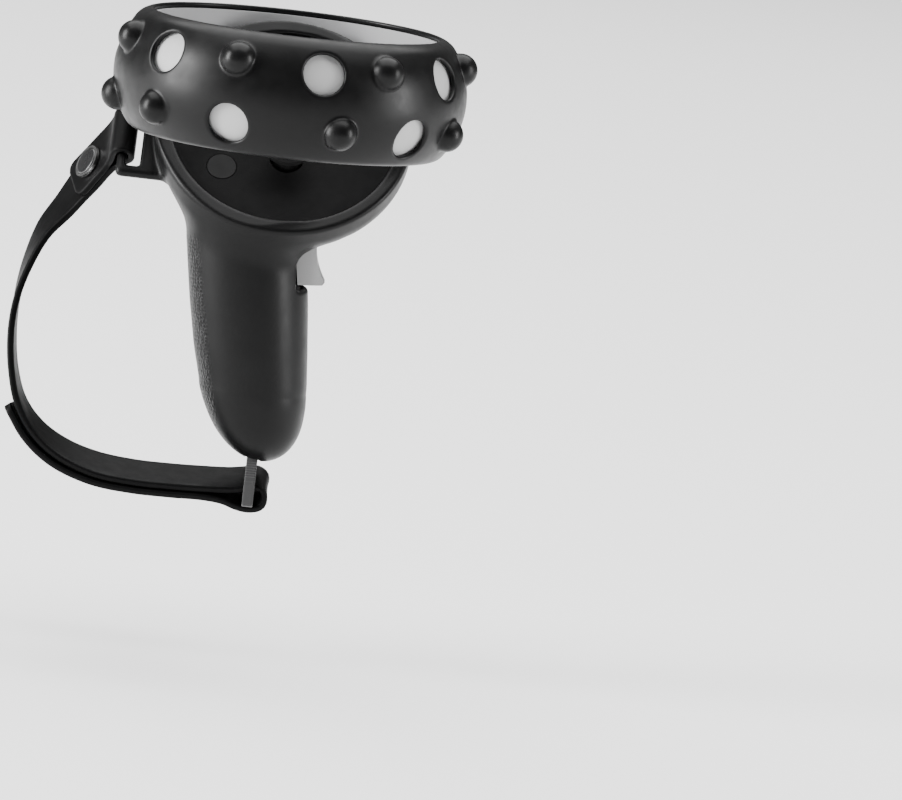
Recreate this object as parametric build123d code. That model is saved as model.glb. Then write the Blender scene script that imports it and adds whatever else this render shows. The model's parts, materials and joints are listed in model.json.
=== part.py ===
# Left-hand tracked motion controller in a silicone grip cover, a silicone ring cover
# and a knuckle strap. Millimetres. The model is drawn about the centre of the tracking
# ring, +Z up the ring's axis, -Y towards the user, +X towards the grip trigger, and is
# moved on export so that the origin is the middle of the handle, where the palm holds it.
from build123d import *
import math
import os

# Row origin, the middle of the handle, in ring coordinates
GRIP_CENTRE = (-3.0, 9.0, -78.0)

# Tracking ring: a barrel-shaped band, its side an arc about ARC_CENTRE in the section
ARC_CENTRE = 25.4
COVER_ARC = 25.6
RING_COVER_THICKNESS = 1.8
RING_SHELL_THICKNESS = 1.6
SKIN_GAP = 0.1
FIT_GAP = 0.2
SIDE_STEPS = 6
RING_TOP = 18.0
RING_BOTTOM = -17.0
RING_RIM_INNER = 41.2
RING_FOOT_INNER = 43.3
INNER_WALL_TOP = 40.4
INNER_WALL_BOTTOM = 41.7
INNER_WALL_THICKNESS = 1.4
HOLE_RADIUS = 5.8
BUMP_RADIUS = 4.9
BUMP_SINK = 0.7
BUMP_ROOT = 0.9
# Rows of marks: height, then angles from the user's side in degrees, positive towards +X
BUMP_ROWS = ((10.2, (-69.6, -18.2, 33.3, 84.7, 136.1, 187.6, 239)),
             (-7.8, (-82, -48.4, 18, 68.5, 125, 190, 235)))
HOLE_ROWS = ((8.8, (-46.2, 10.7, 62.1, 113.6, 165, 216.4, 267.9)),
             (-8.6, (-19.2, 46, 95, 157, 212, 257)))
RIM_FLOOR = 16.1
FOOT_FLOOR = -15.5
SHELL_TOP = 15.8
SHELL_BOTTOM = -15.2
SHELL_LIP = 2.2
WALL_TOP = 16.0
LED_STRIP_RADIUS = 45.4
LED_STRIP_HALF = 5.0
LED_COUNT = 15
LED_SPREAD = 280.0

# Head: a disc, tilted back from the ring's axis, under the face plate
FACE_TILT = 49.0
FACE_CENTRE = (0, 12, -14.3)
HEAD_RADIUS = 37.2
HEAD_DEPTH = 15.0
HEAD_CORNER = 11.0
LIP_HEIGHT = 1.2
LIP_INNER = 33.0
COVER_THICKNESS = 1.8
SHELL_THICKNESS = 2.0
PLATE_RADIUS = 32.8
PLATE_THICKNESS = 1.8

# Face controls: x, t (up the face) and radius
STICK = (1.4, -10.4)
STICK_WELL = 5.0
STICK_PIVOT = -4.6
STICK_HUB = 4.6
STICK_HUB_BELOW = 1.0
STICK_SHAFT = 1.6
GIMBAL_RING = 5.5
CARRIER_INNER = 5.65
TUB_BORE = 6.9
CAP_RADIUS = 7.5
CAP_BASE = 6.5
CAP_HEIGHT = 3.2
BUTTONS = {"x_button": (15.5, 3.0, 4.6, 1.6), "y_button": (11.5, 17.0, 4.6, 1.6),
           "menu_button": (-17.0, -15.8, 4.2, 0.1)}
BUTTON_GAP = 0.2
BOARD_TOP = -8.2
BOARD_SCREWS = ((-22, -6), (22, -6), (0, -24))

# Handle sections with the cover on: height, centre x, half width, half depth
HANDLE_Y = 9.0
HANDLE_SECTIONS = (
    (-26, -3.5, 27, 21), (-36, -5.6, 21.6, 19.4), (-42, -7.0, 18.9, 18.3), (-50, -7.1, 17.7, 17.8),
    (-66, -4.8, 17.4, 17.4), (-80, -2.7, 16.7, 16.8), (-90, -0.9, 15.7, 15.8),
    (-100.5, 1.3, 13.2, 13.4), (-106, 2.4, 10.4, 10.8), (-109.6, 3.1, 6.9, 7.4), (-111.7, 3.8, 3.2, 3.4))
HANDLE_LEAN = 10.8
# Screws through the handle's halves: y, z and the two ends in x
HANDLE_SCREWS = ((19.3, -73.0, (-12.5, 5.4)), (17.5, -97.0, (-6.0, 7.4)))

# AA cell
CELL_RADIUS = 7.25
CELL_LENGTH = 49.2
CELL_TOP = (-7.6, 6.5, -46.0)

# Wing of the grip cover, which carries the strap
WING_DEPTH = -11.0
WING_THICKNESS = 3.0
WING_END = -47.6
WING_LOW = -16.5
WING_HIGH = 8.5
SLOT_X = (-44.9, -40.8)
SLOT_T = (-13.3, 6.5)

# Strap and lanyard band
STRAP_THICKNESS = 2.0
STRAP_WIDTH = 16.0
STRAP_STEPS = 4
# The strap's middle line starts at its tab's end, goes over the wing's bar, through the slot, back
# behind the bar, round the hand, through the lanyard band and back in a free tail. Each row has
# x, y, z and the width direction's x and z for a y of 1.
STRAP_TAB = ((-59.6, 28.4, -39.4, -0.12, 0.85), (-55.0, 26.4, -32.9, 0.0, 1.1))
# The turn round the bar, in the face's frame: x and height above the face
STRAP_ROUND_BAR = ((-50.6, -16.2), (-49.3, -12.2), (-48.9, -9.5), (-47.9, -7.3), (-46.2, -6.7),
                   (-44.4, -7.3), (-43.6, -9.3), (-43.8, -11.4), (-45.2, -12.9), (-48.6, -17.0))
STRAP_MIDDLE_T = -2.0
STRAP_REST = (
    (-53.2, 27.5, -33.2, 0.0, 1.1), (-57.8, 29.5, -39.7, -0.15, 0.7), (-61.9, 30.0, -46.4, -0.26, 0.27),
    (-66.9, 28.5, -53.9, -0.2, 0.12), (-70.4, 26.0, -63.3, -0.13, 0.0), (-72.5, 22.5, -73.9, -0.03, 0.0),
    (-72.7, 19.0, -83.9, 0.0, 0.0), (-71.2, 16.0, -93.8, 0.0, 0.0), (-67.9, 13.5, -103.0, 0.03, 0.01),
    (-62.5, 11.8, -109.9, 0.07, 0.07), (-54.8, 10.6, -115.1, 0.08, 0.16), (-44.5, 10.0, -118.5, 0.0, 0.24),
    (-33.2, 10.0, -119.7, 0.0, 0.24), (-22.0, 10.0, -119.7, 0.0, 0.24), (-11.8, 10.0, -119.3, 0.0, 0.24),
    (-4.5, 10.0, -118.8, 0.0, 0.24), (0.0, 10.0, -118.0, 0.0, 0.24), (3.0, 10.0, -117.4, 0.0, 0.24),
    (5.2, 10.0, -118.5, 0.0, 0.24), (5.8, 10.0, -120.6, 0.0, 0.24), (5.0, 10.0, -122.9, 0.0, 0.24),
    (2.2, 10.0, -123.9, 0.0, 0.24), (-1.5, 10.0, -123.6, 0.0, 0.24), (-6.0, 10.0, -122.3, 0.0, 0.24),
    (-11.9, 10.0, -121.8, 0.0, 0.24), (-22.0, 10.0, -122.1, 0.0, 0.24), (-33.4, 10.0, -122.1, 0.0, 0.24),
    (-45.0, 10.0, -120.9, 0.0, 0.24), (-55.9, 10.6, -117.5, 0.08, 0.16), (-64.4, 11.8, -111.9, 0.07, 0.07),
    (-70.9, 13.3, -104.1, 0.03, 0.01))
SNAP_RADIUS = 4.2
SNAP_RING = 5.0
SNAP_LIFT = 0.4
# Lanyard band: its two ends in x, its slit's half depth in y, and the slope of its lower bar
BAND_X = (-0.3, 2.9)
BAND_TOP = -107.0
BAND_NECK_END = -111.7
BAND_LOW = -122.7
BAND_MIDDLE_Y = 10.0
BAND_NECK = 4.5
BAND_REACH = 9.4
BAND_SLOPE = 0.24
BAND_THICKNESS = 1.0

# Triggers
INDEX_PIVOT = (33.0, -19.0)
INDEX_HALF_WIDTH = 10.5
INDEX_HUB_HALF = 7.0
INDEX_LEAN = 13.3
BRACKET_SCREWS = ((-9, 15.0), (9, 15.0))
PIN_RADIUS = 1.5
RUNNING_GAP = 0.05
GRIP_PIVOT = (5.0, -45.2)
GRIP_TRIGGER_Y = (0.0, 17.0)
GRIP_SPRING_ROOM = 3.0

TILT = math.radians(FACE_TILT)
FACE = Plane(origin=FACE_CENTRE, x_dir=(1, 0, 0), z_dir=(0, -math.sin(TILT), math.cos(TILT)))
HANDLE_AXIS = Rot(0, -HANDLE_LEAN, 0)


def face_place(x, t, depth=0.0):
    """The place on the face at x, t, and depth above it (negative is below)."""
    return FACE.location * Pos(x, t, depth)


def block(x, y, z):
    """A box given by its low and high limits on each axis."""
    size = [high - low for low, high in (x, y, z)]
    middle = [(high + low) / 2 for low, high in (x, y, z)]
    return Pos(*middle) * Box(*size)


def rod(radius, low, high):
    """A cylinder on the local z axis from low to high."""
    return Pos(0, 0, (low + high) / 2) * Cylinder(radius, high - low)


def tube(inner, outer, low, high):
    return rod(outer, low, high) - rod(inner, low - 1, high + 1)


def x_rod(radius, x, y, z):
    """A cylinder along X between the two ends x."""
    return Pos((x[0] + x[1]) / 2, y, z) * Rot(0, 90, 0) * Cylinder(radius, x[1] - x[0])


def y_rod(radius, x, y, z):
    return Pos(x, (y[0] + y[1]) / 2, z) * Rot(90, 0, 0) * Cylinder(radius, y[1] - y[0])


def coil(radius, wire, pitch, height):
    """A round-wire spring standing on the local z axis."""
    path = Helix(pitch=pitch, height=height, radius=radius)
    section = Plane(origin=path @ 0, z_dir=path % 0) * Circle(wire)
    return sweep(section, path=path)


# ---------------------------------------------------------------- tracking ring
def arc_radius(offset, z):
    """Radius of the band's side at height z, offset outwards from the cover's outside."""
    return ARC_CENTRE + math.sqrt((COVER_ARC + offset) ** 2 - z * z)


def revolve_outline(outline):
    return revolve(Plane.XZ * make_face(outline), Axis.Z)


def side_points(offset, start, end):
    """Points down or up the band's side between two heights."""
    heights = [start + (end - start) * i / SIDE_STEPS for i in range(SIDE_STEPS + 1)]
    return [(arc_radius(offset, z), z) for z in heights]


def band(offset_out, offset_in, top, bottom, rim, foot, rim_floor, foot_floor):
    """A band with barrel-shaped sides, a rim turned in at the top and a foot at the bottom."""
    outer = side_points(offset_out, top, bottom)
    inner = side_points(offset_in, foot_floor, rim_floor)
    outline = Line((rim, top), outer[0]) + Spline(*outer)
    outline += Polyline(outer[-1], (foot, bottom), (foot, foot_floor), inner[0])
    outline += Spline(*inner) + Polyline(inner[-1], (rim, rim_floor), (rim, top))
    return revolve_outline(outline)


def side_place(angle, z, sink):
    """A place on the band's outside with its z axis along the outward normal."""
    lift = math.degrees(math.asin(z / COVER_ARC))
    reach = ARC_CENTRE + (COVER_ARC - sink) * math.cos(math.radians(lift))
    height = (COVER_ARC - sink) * math.sin(math.radians(lift))
    return Rot(0, 0, angle - 90) * Pos(reach, 0, height) * Rot(0, 90 - lift, 0)


def band_marks(rows, shape, sink):
    """The shape at each place of the rows, sunk below the band's side by sink."""
    return [side_place(angle, z, sink) * shape for z, angles in rows for angle in angles]


def ring_gap():
    """What the head and its wing take out of the ring, on the side away from the user."""
    depth = (WING_DEPTH - FIT_GAP, WING_DEPTH + WING_THICKNESS + FIT_GAP)
    beside_wing = block((WING_END - 1, -30), (WING_LOW, WING_HIGH + FIT_GAP), depth)
    return head_body(-FIT_GAP, LIP_HEIGHT) + FACE.location * beside_wing


def ring_cover():
    body = band(0, -RING_COVER_THICKNESS, RING_TOP, RING_BOTTOM, RING_RIM_INNER, RING_FOOT_INNER,
                RIM_FLOOR, FOOT_FLOOR)
    for hole in band_marks(HOLE_ROWS, Cylinder(HOLE_RADIUS, 8), 0):
        body -= hole
    body -= ring_gap()
    bump = Sphere(BUMP_RADIUS) & block((-9, 9), (-9, 9), (-BUMP_ROOT, 9))
    for placed in band_marks(BUMP_ROWS, bump, BUMP_SINK):
        body += placed
    return body


def ring_outer_shell():
    offset = -RING_COVER_THICKNESS - SKIN_GAP
    rim = INNER_WALL_TOP + INNER_WALL_THICKNESS + SKIN_GAP
    foot = INNER_WALL_BOTTOM + INNER_WALL_THICKNESS + SKIN_GAP
    shell = band(offset, offset - RING_SHELL_THICKNESS, SHELL_TOP, SHELL_BOTTOM, rim, foot,
                 SHELL_TOP - SHELL_LIP, SHELL_BOTTOM + SHELL_LIP)
    return shell - ring_gap()


def ring_inner_shell():
    top, bottom, wall = INNER_WALL_TOP, INNER_WALL_BOTTOM, INNER_WALL_THICKNESS
    outline = Polyline((top, WALL_TOP), (top + wall, WALL_TOP), (bottom + wall, SHELL_BOTTOM),
                       (bottom, SHELL_BOTTOM), close=True)
    return revolve_outline(outline) - ring_gap()


def ring_led_strip():
    strip = tube(LED_STRIP_RADIUS, LED_STRIP_RADIUS + 0.4, -LED_STRIP_HALF, LED_STRIP_HALF)
    return strip - ring_gap()


def ring_leds():
    """Infrared emitters round the strip, left out where the head interrupts the ring."""
    led = block((LED_STRIP_RADIUS + 0.6, LED_STRIP_RADIUS + 1.5), (-1.2, 1.2), (-1.2, 1.2))
    step = LED_SPREAD / (LED_COUNT - 1)
    first = -90 - LED_SPREAD / 2
    return [Rot(0, 0, first + step * i) * led for i in range(LED_COUNT)]


# ---------------------------------------------------------------- head and handle
def head_body(inset, top):
    """The head's rounded disc, drawn in from its outside by inset, up to top above the face."""
    bottom = -HEAD_DEPTH + inset
    disc = rod(HEAD_RADIUS - inset, bottom, top)
    disc = fillet(disc.edges().sort_by(Axis.Z)[0], HEAD_CORNER - inset)
    return FACE.location * disc


def handle_body(inset):
    """The handle's outside, drawn in by inset."""
    sections = [Pos(x, HANDLE_Y, z) * Ellipse(wide - inset, deep - inset)
                for z, x, wide, deep in HANDLE_SECTIONS if wide - inset > 2.6]
    return loft(sections)


def below_head(solid, inset):
    """The part of the handle that hangs below the head."""
    return solid - head_body(inset, 40)


def wing():
    plate = block((WING_END, -30), (WING_LOW, WING_HIGH), (WING_DEPTH, WING_DEPTH + WING_THICKNESS))
    plate = fillet(plate.edges().filter_by(Axis.Z).group_by(Axis.X)[0], 3)
    slot = block(SLOT_X, SLOT_T, (WING_DEPTH - 1, WING_DEPTH + WING_THICKNESS + 1))
    return FACE.location * (plate - slot)


def grip_window(x_low, slack):
    """The opening in the handle's side for the grip trigger, from x_low outwards."""
    low, high = GRIP_TRIGGER_Y
    return block((x_low, 24), (low - slack, high + slack), (-59.4 - slack / 4, -42.6))


def lanyard_way(slack):
    """The slit in the handle's end that the lanyard band goes up through."""
    x = (BAND_X[0] - slack, BAND_X[1] + slack)
    y = (BAND_MIDDLE_Y - BAND_NECK - slack, BAND_MIDDLE_Y + BAND_NECK + slack)
    return block(x, y, (-116, BAND_TOP + slack))


def index_window():
    """The opening in the head's underside for the index trigger's bracket."""
    return FACE.location * block((-14, 14), (3, 17.5), (-19, -10))


def cover_outside():
    head = head_body(0, LIP_HEIGHT)
    above = FACE.location * block((-80, 80), (-80, 80), (LIP_HEIGHT, 60))
    return head + (handle_body(0) - above) + wing()


def grip_cover():
    body = cover_outside() - head_body(COVER_THICKNESS, -0.6) - handle_body(COVER_THICKNESS)
    body -= FACE.location * rod(LIP_INNER, -4, 4)
    body -= grip_window(3.0, 0.7)
    body -= block((0.9, 7.3), (GRIP_TRIGGER_Y[0] - 1.8, GRIP_TRIGGER_Y[1] + 1.8), (-48.1, -42.6))
    body -= index_window()
    body -= lanyard_way(0.3)
    return body.solids().sort_by(SortBy.VOLUME)[-1]


def head_shell():
    inset = COVER_THICKNESS + SKIN_GAP
    body = head_body(inset, -0.7) - head_body(inset + SHELL_THICKNESS, 4)
    neck = Pos(-5, 16, -27) * Rot(FACE_TILT, 0, 0) * Cylinder(6, 12)
    return body - neck - index_window() - bracket_holes() - grip_window(0.8, 2.2)


def handle_shell():
    inset = COVER_THICKNESS + SKIN_GAP
    outside = below_head(handle_body(inset), inset - 0.1)
    body = outside - handle_body(inset + SHELL_THICKNESS) - grip_window(0.8, 2.2)
    body -= lanyard_way(0.4)
    return body.solids().sort_by(SortBy.VOLUME)[-1]


def on_handle_axis(shape, slide=0.0):
    """Stands a shape on the cell's axis, z up, slide below the cell's top."""
    return Pos(*CELL_TOP) * HANDLE_AXIS * Pos(0, 0, -slide) * shape


def door_space(slack):
    space = block((-7 - slack, 7 + slack), (-30, -4.5), (-46 - slack, -6 + slack))
    return on_handle_axis(space)


def handle_half(shell, side):
    """One half of the handle's shell, on side -1 (left) or +1 (right) of the leaning seam."""
    half = block((0.03, 60), (-60, 60), (-90, 60))
    half = half if side > 0 else mirror(half, Plane.YZ)
    return (shell - door_space(0.15)) & (Pos(*CELL_TOP) * HANDLE_AXIS * half)


def handle_shell_left(shell):
    return handle_half(shell, -1) - handle_screw_holes()


def handle_shell_right(shell):
    return handle_half(shell, 1) - handle_screw_holes()


def battery_door(shell):
    return (shell & door_space(0)).solids().sort_by(SortBy.VOLUME)[-1]


def handle_screw_holes():
    holes = [x_rod(1.25, (-40, 40), y, z) for y, z, _ in HANDLE_SCREWS]
    return holes[0] + holes[1]


def handle_screws():
    """Long screws that draw the two halves of the handle together."""
    return [x_rod(1.15, ends, y, z) for y, z, ends in HANDLE_SCREWS]


# ---------------------------------------------------------------- inside the handle
def battery_cell():
    body = rod(CELL_RADIUS, -CELL_LENGTH, 0)
    body = fillet(body.edges().filter_by(GeomType.CIRCLE), 0.6)
    return on_handle_axis(body + rod(2.7, -0.1, 1.0))


def battery_tray():
    """A half-round cradle behind the cell."""
    cradle = tube(CELL_RADIUS + 0.25, CELL_RADIUS + 1.4, -CELL_LENGTH - 2.6, 0.8)
    return on_handle_axis(cradle & block((-6, 6), (2, 20), (-80, 20)))


def battery_contact_top():
    return on_handle_axis(block((-3.5, 3.5), (-3.5, 3.5), (1.1, 1.5)))


def battery_contact_bottom():
    plate = block((-4.2, 4.2), (-4.2, 4.2), (0, 0.4))
    return on_handle_axis(plate, CELL_LENGTH + 3.0)


def battery_spring():
    return on_handle_axis(coil(3.2, 0.35, 0.9, 1.7), CELL_LENGTH + 2.2)


def handle_board():
    return on_handle_axis(block((-6, 6), (9.2, 10.4), (-40, -4)))


def haptic_motor():
    motor = Rot(0, 90, 0) * Cylinder(2.2, 9)
    return on_handle_axis(Pos(0, 12.7, -12) * motor)


# ---------------------------------------------------------------- face and its controls
def face_plate():
    plate = rod(PLATE_RADIUS, -PLATE_THICKNESS, 0)
    plate -= Pos(*STICK, 0) * rod(STICK_WELL, -3, 1)
    for x, t, radius, _ in BUTTONS.values():
        plate -= Pos(x, t, 0) * rod(radius + BUTTON_GAP, -3, 1)
    return FACE.location * plate


def button(name):
    x, t, radius, rise = BUTTONS[name]
    body = rod(radius, -PLATE_THICKNESS - 0.2, rise)
    body = fillet(body.edges().sort_by(Axis.Z)[-1], min(1.0, rise * 0.6))
    flange = rod(radius + 1.0, -PLATE_THICKNESS - 1.0, -PLATE_THICKNESS - 0.2)
    return face_place(x, t) * (body + flange)


def button_switches():
    """Tactile switches on the board, one under each button."""
    switch = block((-2.2, 2.2), (-2.2, 2.2), (BOARD_TOP, -4.4)) + rod(1.2, -4.5, -4.1)
    return [face_place(x, t) * switch for x, t, _, _ in BUTTONS.values()]


def stick_place(depth=0.0):
    return face_place(*STICK, STICK_PIVOT + depth)


def thumbstick_shaft():
    hub = Sphere(STICK_HUB) & block((-9, 9), (-9, 9), (-STICK_HUB_BELOW, 9))
    shaft = rod(STICK_SHAFT, 2, CAP_BASE - STICK_PIVOT + 1.5)
    stubs = y_rod(0.5, 0, (-GIMBAL_RING + 0.1, GIMBAL_RING - 0.1), 0)
    return stick_place() * (hub + shaft + stubs)


def thumbstick_cap():
    low = CAP_BASE - STICK_PIVOT
    body = rod(CAP_RADIUS, low, low + CAP_HEIGHT)
    body = fillet(body.edges().sort_by(Axis.Z)[-1], 1.2)
    body = fillet(body.edges().sort_by(Axis.Z)[0], 0.8)
    dish = Pos(0, 0, low + CAP_HEIGHT + 21.2) * Sphere(22)
    socket = rod(STICK_SHAFT + 0.02, low - 1, low + 1.52)
    return stick_place() * (body - dish - socket)


def stick_yoke():
    """The gimbal's middle ring: it turns on X, and the hub turns in it."""
    pin_end = CARRIER_INNER + 0.35
    pins = x_rod(0.45, (GIMBAL_RING - 0.2, pin_end), 0, 0)
    pins += x_rod(0.45, (-pin_end, 0.2 - GIMBAL_RING), 0, 0)
    ring = tube(STICK_HUB + 0.2, GIMBAL_RING, -0.62, 0.62) - y_rod(0.5 + RUNNING_GAP, 0, (-7, 7), 0)
    return stick_place() * (ring + pins)


def stick_carrier():
    """The sleeve that the yoke's pins turn in: it sinks when the stick is pressed."""
    sleeve = tube(CARRIER_INNER, CARRIER_INNER + 0.5, -2.8, 1.2)
    sleeve -= x_rod(0.45 + RUNNING_GAP, (-8, 8), 0, 0)
    return stick_place() * sleeve


def stick_module():
    """The fixed tub of the thumbstick, soldered to the board."""
    tub = block((-7.6, 7.6), (-7.6, 7.6), (BOARD_TOP - STICK_PIVOT, 2.6))
    return stick_place() * (tub - rod(TUB_BORE, -3.4, 4))


def main_board():
    board = rod(28.0, BOARD_TOP - 1.2, BOARD_TOP)
    board -= block((-14.5, 14.5), (4, 40), (-20, 0))
    board += block((8, 19), (0, 22), (BOARD_TOP - 1.2, BOARD_TOP))
    for x, t in BOARD_SCREWS:
        board -= Pos(x, t, 0) * rod(1.25, -20, 0)
    return FACE.location * board


def inner_frame():
    """The tray that carries the board and stands on the head shell's floor."""
    tray = tube(15.5, 27.0, -11.0, BOARD_TOP - 1.3)
    tray -= block((-14.5, 14.5), (4, 40), (-20, 0))
    for x, t in BOARD_SCREWS:
        tray -= Pos(x, t, 0) * rod(1.0, -20, 0)
    return FACE.location * tray


def board_screws():
    screw = rod(0.95, -10.8, BOARD_TOP) + rod(1.9, BOARD_TOP + 0.02, BOARD_TOP + 1.2)
    screw += rod(0.95, BOARD_TOP - 0.1, BOARD_TOP + 0.1)
    return [face_place(x, t) * screw for x, t in BOARD_SCREWS]


# ---------------------------------------------------------------- index trigger
def index_round(y, z):
    """The finger side's curve across the trigger, and its round corners."""
    curve = extrude(Ellipse(INDEX_HALF_WIDTH + 1.0, 6.8), 32, both=True)
    corners = extrude(Plane.XZ * RectangleRounded(2 * INDEX_HALF_WIDTH, 36, 6.5), 40, both=True)
    return (Pos(0, y + 3.0, z - 10) * Rot(INDEX_LEAN, 0, 0) * curve) & (Pos(0, y, z - 4.4) * corners)


def index_trigger():
    y, z = INDEX_PIVOT
    outline = Spline((y + 1.5, z + 4.0), (y + 7.2, z - 2.4), (y + 9.0, z - 11), (y + 11.6, z - 21))
    outline += Line((y + 11.6, z - 21), (y + 8.9, z - 22.4))
    outline += Spline((y + 8.9, z - 22.4), (y + 5.4, z - 12), (y + 0.8, z - 5), (y - 3.4, z - 2.0))
    outline += Line((y - 3.4, z - 2.0), (y + 1.5, z + 4.0))
    blade = extrude(Plane.YZ * make_face(outline), INDEX_HALF_WIDTH, both=True)
    for low, high in ((INDEX_HUB_HALF, 20), (-20, -INDEX_HUB_HALF)):
        blade -= x_rod(5.2, (low, high), y, z)
    blade &= index_round(y, z)
    return blade - x_rod(PIN_RADIUS + RUNNING_GAP, (-20, 20), y, z)


def index_pin():
    return x_rod(PIN_RADIUS, (-12.8, 12.8), *INDEX_PIVOT)


def index_spring():
    """A torsion spring's coil round the pin, beside the trigger's hub."""
    y, z = INDEX_PIVOT
    return Pos(INDEX_HUB_HALF + 0.7, y, z) * Rot(0, 90, 0) * coil(2.6, 0.35, 0.9, 2.4)


def bracket_holes():
    holes = [face_place(x, t) * rod(1.1, -20, -8) for x, t in BRACKET_SCREWS]
    return holes[0] + holes[1]


def trigger_bracket():
    """The hood under the head: two ears for the index trigger's pin, and a brow over its hub."""
    base = block((-12.9, 12.9), (4, 16.8), (-12.9, -11.4))
    hood = block((-12.9, 12.9), (6, 16.8), (-22.4, -12.0))
    hood = fillet(hood.edges().filter_by(Axis.X).group_by(Axis.Z)[0], 3.5)
    hood -= block((-11.2, 11.2), (2, 15.3), (-30, -12.9))
    for x, t in BRACKET_SCREWS:
        hood -= Pos(x, t, 0) * rod(2.1, -14.2, -12.9)
    bracket = FACE.location * (base + hood)
    return bracket - x_rod(PIN_RADIUS + 0.01, (-20, 20), *INDEX_PIVOT) - bracket_holes()


def bracket_screws():
    screw = rod(1.0, -13.0, -9.6) + rod(1.9, -14.0, -12.95)
    return [face_place(x, t) * screw for x, t in BRACKET_SCREWS]


# ---------------------------------------------------------------- grip trigger
def grip_trigger():
    outline = Spline((13.4, -43.0), (13.2, -49.0), (16.4, -57.0))
    outline += Polyline((16.4, -57.0), (15.8, -57.8), (8.6, -57.8), (7.2, -49.0), (2.6, -47.6),
                        (2.6, -43.2), (13.4, -43.0))
    body = extrude(Plane.XZ * make_face(outline), -GRIP_TRIGGER_Y[1] - 4, both=True)
    side = Pos(-7, 8.5, -50) * extrude(Ellipse(24.5, 11.0), 20, both=True)
    body &= side
    x, z = GRIP_PIVOT
    hub_sides = block((0, 8.2), (-9, GRIP_TRIGGER_Y[0]), (-49.5, -40))
    hub_sides += block((0, 8.2), (GRIP_TRIGGER_Y[1] - GRIP_SPRING_ROOM, 26), (-49.5, -40))
    return body - hub_sides - y_rod(1.2 + RUNNING_GAP, x, (-20, 40), z)


def grip_pin():
    return y_rod(1.2, GRIP_PIVOT[0], (-1.5, 18.5), GRIP_PIVOT[1])


def grip_bracket():
    height = (-47.8, -42.9)
    low, high = GRIP_TRIGGER_Y
    ears = block((1.6, 7.0), (low - 1.5, low - 0.3), height)
    ears += block((1.6, 7.0), (high + 0.3, high + 1.5), height)
    ears += block((1.2, 1.9), (low - 1.5, high + 1.5), height)
    return ears - y_rod(1.21, GRIP_PIVOT[0], (-20, 40), GRIP_PIVOT[1])


def grip_spring():
    """A torsion spring's coil round the pin, beside the trigger's hub."""
    x, z = GRIP_PIVOT
    return Pos(x, GRIP_TRIGGER_Y[1] - 0.3, z) * Rot(90, 0, 0) * coil(2.0, 0.3, 0.75, 2.0)


# ---------------------------------------------------------------- strap and lanyard band
def strap_rows():
    """The rows of the strap's whole line, from the tab's end to the tail's."""
    face_y, face_z = FACE_CENTRE[1], FACE_CENTRE[2]
    up_y, up_z = math.cos(TILT), math.sin(TILT)
    bar = []
    for x, h in STRAP_ROUND_BAR:
        y = face_y + STRAP_MIDDLE_T * up_y - h * up_z
        z = face_z + STRAP_MIDDLE_T * up_z + h * up_y
        bar.append((x, y, z, 0.0, up_z / up_y))
    return STRAP_TAB + tuple(bar) + STRAP_REST


def between(rows, i, share):
    """A smooth curve's value between row i and the next, at share of the way."""
    a, b, c, d = [rows[min(max(i + k, 0), len(rows) - 1)] for k in (-1, 0, 1, 2)]
    out = []
    for p, q, r, s in zip(a, b, c, d):
        bend = (2 * p - 5 * q + 4 * r - s) * share ** 2 + (3 * q - p - 3 * r + s) * share ** 3
        out.append(q + ((r - p) * share + bend) / 2)
    return out


def strap_line():
    """Points along the strap, each with its width direction there."""
    rows = strap_rows()
    line = []
    for i in range(len(rows) - 1):
        line += [between(rows, i, k / STRAP_STEPS) for k in range(STRAP_STEPS)]
    line.append(list(rows[-1]))
    return [(Vector(x, y, z), Vector(ax, 1, az)) for x, y, z, ax, az in line]


def strap_planes():
    """A plane across the strap at each point: its x along the thickness, its y along the width."""
    line = strap_line()
    planes = []
    for i, (point, across) in enumerate(line):
        ahead = (line[min(i + 1, len(line) - 1)][0] - line[max(i - 1, 0)][0]).normalized()
        planes.append(Plane(origin=point, x_dir=across.cross(ahead), z_dir=ahead))
    return planes


def knuckle_strap():
    section = Rectangle(STRAP_THICKNESS, STRAP_WIDTH)
    return loft([plane * section for plane in strap_planes()], ruled=True)


def snap_place():
    """A place on the tab's outer side, its z axis pointing away from the hand."""
    plane = strap_planes()[STRAP_STEPS]
    outwards = plane.x_dir if plane.x_dir.X < 0 else -plane.x_dir
    return Plane(origin=plane.origin + outwards * (STRAP_THICKNESS / 2 + SNAP_LIFT), z_dir=outwards)


def strap_snap_cap():
    body = rod(SNAP_RADIUS, 0, 1.2)
    return snap_place() * fillet(body.edges().sort_by(Axis.Z)[-1], 0.6)


def strap_snap_ring():
    return snap_place() * tube(SNAP_RADIUS + 0.1, SNAP_RING, 0, 0.9)


def band_outline(inset):
    """The lanyard band's outline in the y-z plane, drawn in by inset."""
    neck, reach = BAND_NECK - inset, BAND_REACH - inset
    low = BAND_LOW + inset
    top = BAND_TOP - inset
    points = [(-reach, low - reach * BAND_SLOPE), (-reach, -117.0), (-neck, BAND_NECK_END), (-neck, top),
              (neck, top), (neck, BAND_NECK_END), (reach, -113.5), (reach, low + reach * BAND_SLOPE)]
    return Polyline(*[(BAND_MIDDLE_Y + y, z) for y, z in points], close=True)


def lanyard_band():
    """A flat loop that hangs from the handle's end and holds the strap."""
    loop = make_face(band_outline(0)) - make_face(band_outline(BAND_THICKNESS))
    return Pos(BAND_X[0], 0, 0) * extrude(Plane.YZ * loop, BAND_X[1] - BAND_X[0])


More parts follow.
